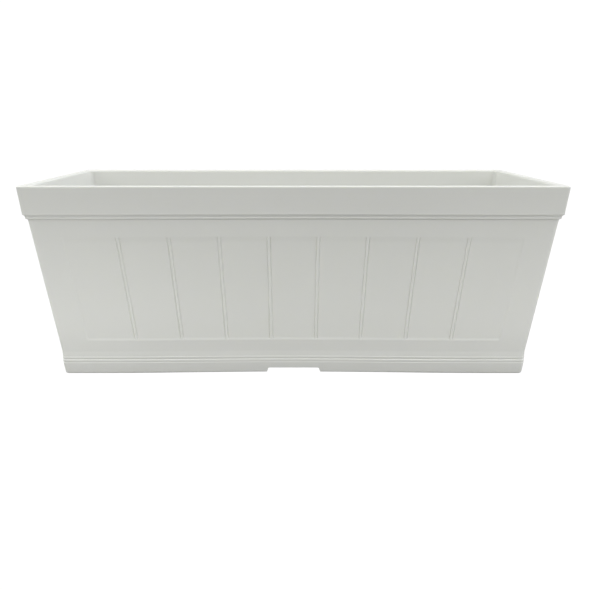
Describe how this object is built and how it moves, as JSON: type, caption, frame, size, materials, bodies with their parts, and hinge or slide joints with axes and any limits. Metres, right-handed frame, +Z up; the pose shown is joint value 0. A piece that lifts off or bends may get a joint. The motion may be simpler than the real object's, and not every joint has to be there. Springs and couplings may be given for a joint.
{
  "type": "self watering planter",
  "caption": "Rectangular window-box planter with plank-panelled walls and a lift-out platform over a water reservoir, with fill tube, float gauge, overflow and drain plug.",
  "frame": {"origin": "centre of the footprint, at the bottom of the feet", "axes": "+X along the length towards the fill tube's end, -Y the front, +Z up"},
  "size_m": [0.608, 0.254, 0.229],
  "materials": {
    "shell_resin": "satin moulded resin, warm off-white",
    "platform_plastic": "fine moulded grain, light grey",
    "leg_plastic": "smooth moulded, light grey",
    "basket_plastic": "fine moulded grain, mid grey",
    "tube_plastic": "extruded satin, off-white",
    "gauge_clear": "clear styrene, polished",
    "float_foam": "closed-cell foam",
    "indicator_red": "gloss, signal red",
    "cap_green": "satin, leaf green",
    "fitting_plastic": "smooth moulded, black",
    "seal_rubber": "matte",
    "pin_steel": "drawn stainless wire"
  },
  "bodies": {
    "planter": {"trough_front": "shell_resin", "trough_back": "shell_resin", "trough_left_end": "shell_resin", "trough_right_end": "shell_resin", "trough_floor": "shell_resin", "overflow_standpipe": "fitting_plastic", "standpipe_washer": "seal_rubber", "standpipe_nut": "fitting_plastic"},
    "drain_plug": {"drain_plug": "fitting_plastic", "plug_o_ring": "seal_rubber"},
    "platform_left": {"platform_left": "platform_plastic", "legs_left": "leg_plastic", "soil_basket_left": "basket_plastic", "gauge_tube": "tube_plastic", "gauge_lens": "gauge_clear"},
    "float": {"gauge_float": "float_foam", "indicator_rod": "indicator_red"},
    "platform_right": {"platform_right": "platform_plastic", "legs_right": "leg_plastic", "soil_basket_right": "basket_plastic", "fill_tube": "tube_plastic", "cap_hinge_pin": "pin_steel"},
    "fill_cap": {"fill_cap": "cap_green", "cap_seal": "seal_rubber"}
  },
  "joints": [
    {"name": "drain_plug_pull", "type": "slide", "parent": "planter", "child": "drain_plug", "axis": [1, 0, 0], "range_m": [0, 0.03]},
    {"name": "platform_left_lift", "type": "slide", "parent": "planter", "child": "platform_left", "axis": [0, 0, 1], "range_m": [0, 0.225]},
    {"name": "platform_right_lift", "type": "slide", "parent": "planter", "child": "platform_right", "axis": [0, 0, 1], "range_m": [0, 0.225]},
    {"name": "float_rise", "type": "slide", "parent": "platform_left", "child": "float", "axis": [0, 0, 1], "range_m": [0, 0.024]},
    {"name": "fill_cap_hinge", "type": "hinge", "parent": "platform_right", "child": "fill_cap", "pos_m": [0.245, 0.092, 0.202], "axis": [-1, 0, 0], "range_deg": [0, 100]}
  ]
}
